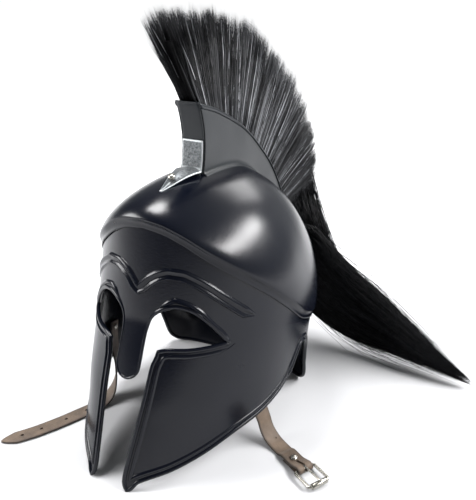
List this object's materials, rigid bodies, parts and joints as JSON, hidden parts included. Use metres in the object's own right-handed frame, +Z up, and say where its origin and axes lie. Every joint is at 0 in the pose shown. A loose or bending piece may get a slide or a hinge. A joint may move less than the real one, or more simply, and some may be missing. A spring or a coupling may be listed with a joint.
{
  "type": "corinthian helmet with a plume",
  "caption": "Black steel Corinthian helmet with cheek pieces, nasal, embossed brows, raised crest holder, horsehair plume with a mane, and leather chin straps with a roller buckle.",
  "frame": {"origin": "middle of the whole part's box, on the surface that it lies on", "axes": "+Z up, the face looks along -Y, the wearer's left is +X"},
  "size_m": [0.3896, 0.4324, 0.398],
  "materials": {
    "black_steel": "gloss black paint over steel, fine orange peel",
    "horsehair": "black horsehair with a grey sheen",
    "leather": "taupe brown leather with dark cut edges",
    "nickel": "nickel plate"
  },
  "bodies": {
    "helmet": {"face_shell": "black_steel", "skull_cap": "black_steel", "crest_holder": "black_steel", "crest_bracket": "black_steel", "bracket_screw": "nickel", "plume_brush": "horsehair", "plume_mane": "horsehair", "strap_left": "leather", "strap_right": "leather", "strap_rivet_left": "nickel", "strap_rivet_right": "nickel", "flap_rivet": "nickel"},
    "buckle": {"buckle_frame": "nickel"},
    "roller": {"buckle_roller": "nickel"},
    "prong": {"buckle_prong": "nickel"}
  },
  "joints": [
    {"name": "frame_hinge", "type": "hinge", "parent": "helmet", "child": "buckle", "pos_m": [0.08035, -0.10525, 0.0041], "axis": [-0.4695, -0.8829, 0], "range_deg": [0, 60]},
    {"name": "roller_spin", "type": "hinge", "parent": "buckle", "child": "roller", "pos_m": [0.09977, -0.11558, 0.0041], "axis": [-0.4695, -0.8829, 0], "continuous": true},
    {"name": "prong_hinge", "type": "hinge", "parent": "buckle", "child": "prong", "pos_m": [0.08035, -0.10525, 0.0041], "axis": [-0.4695, -0.8829, 0], "range_deg": [0, 85]}
  ]
}
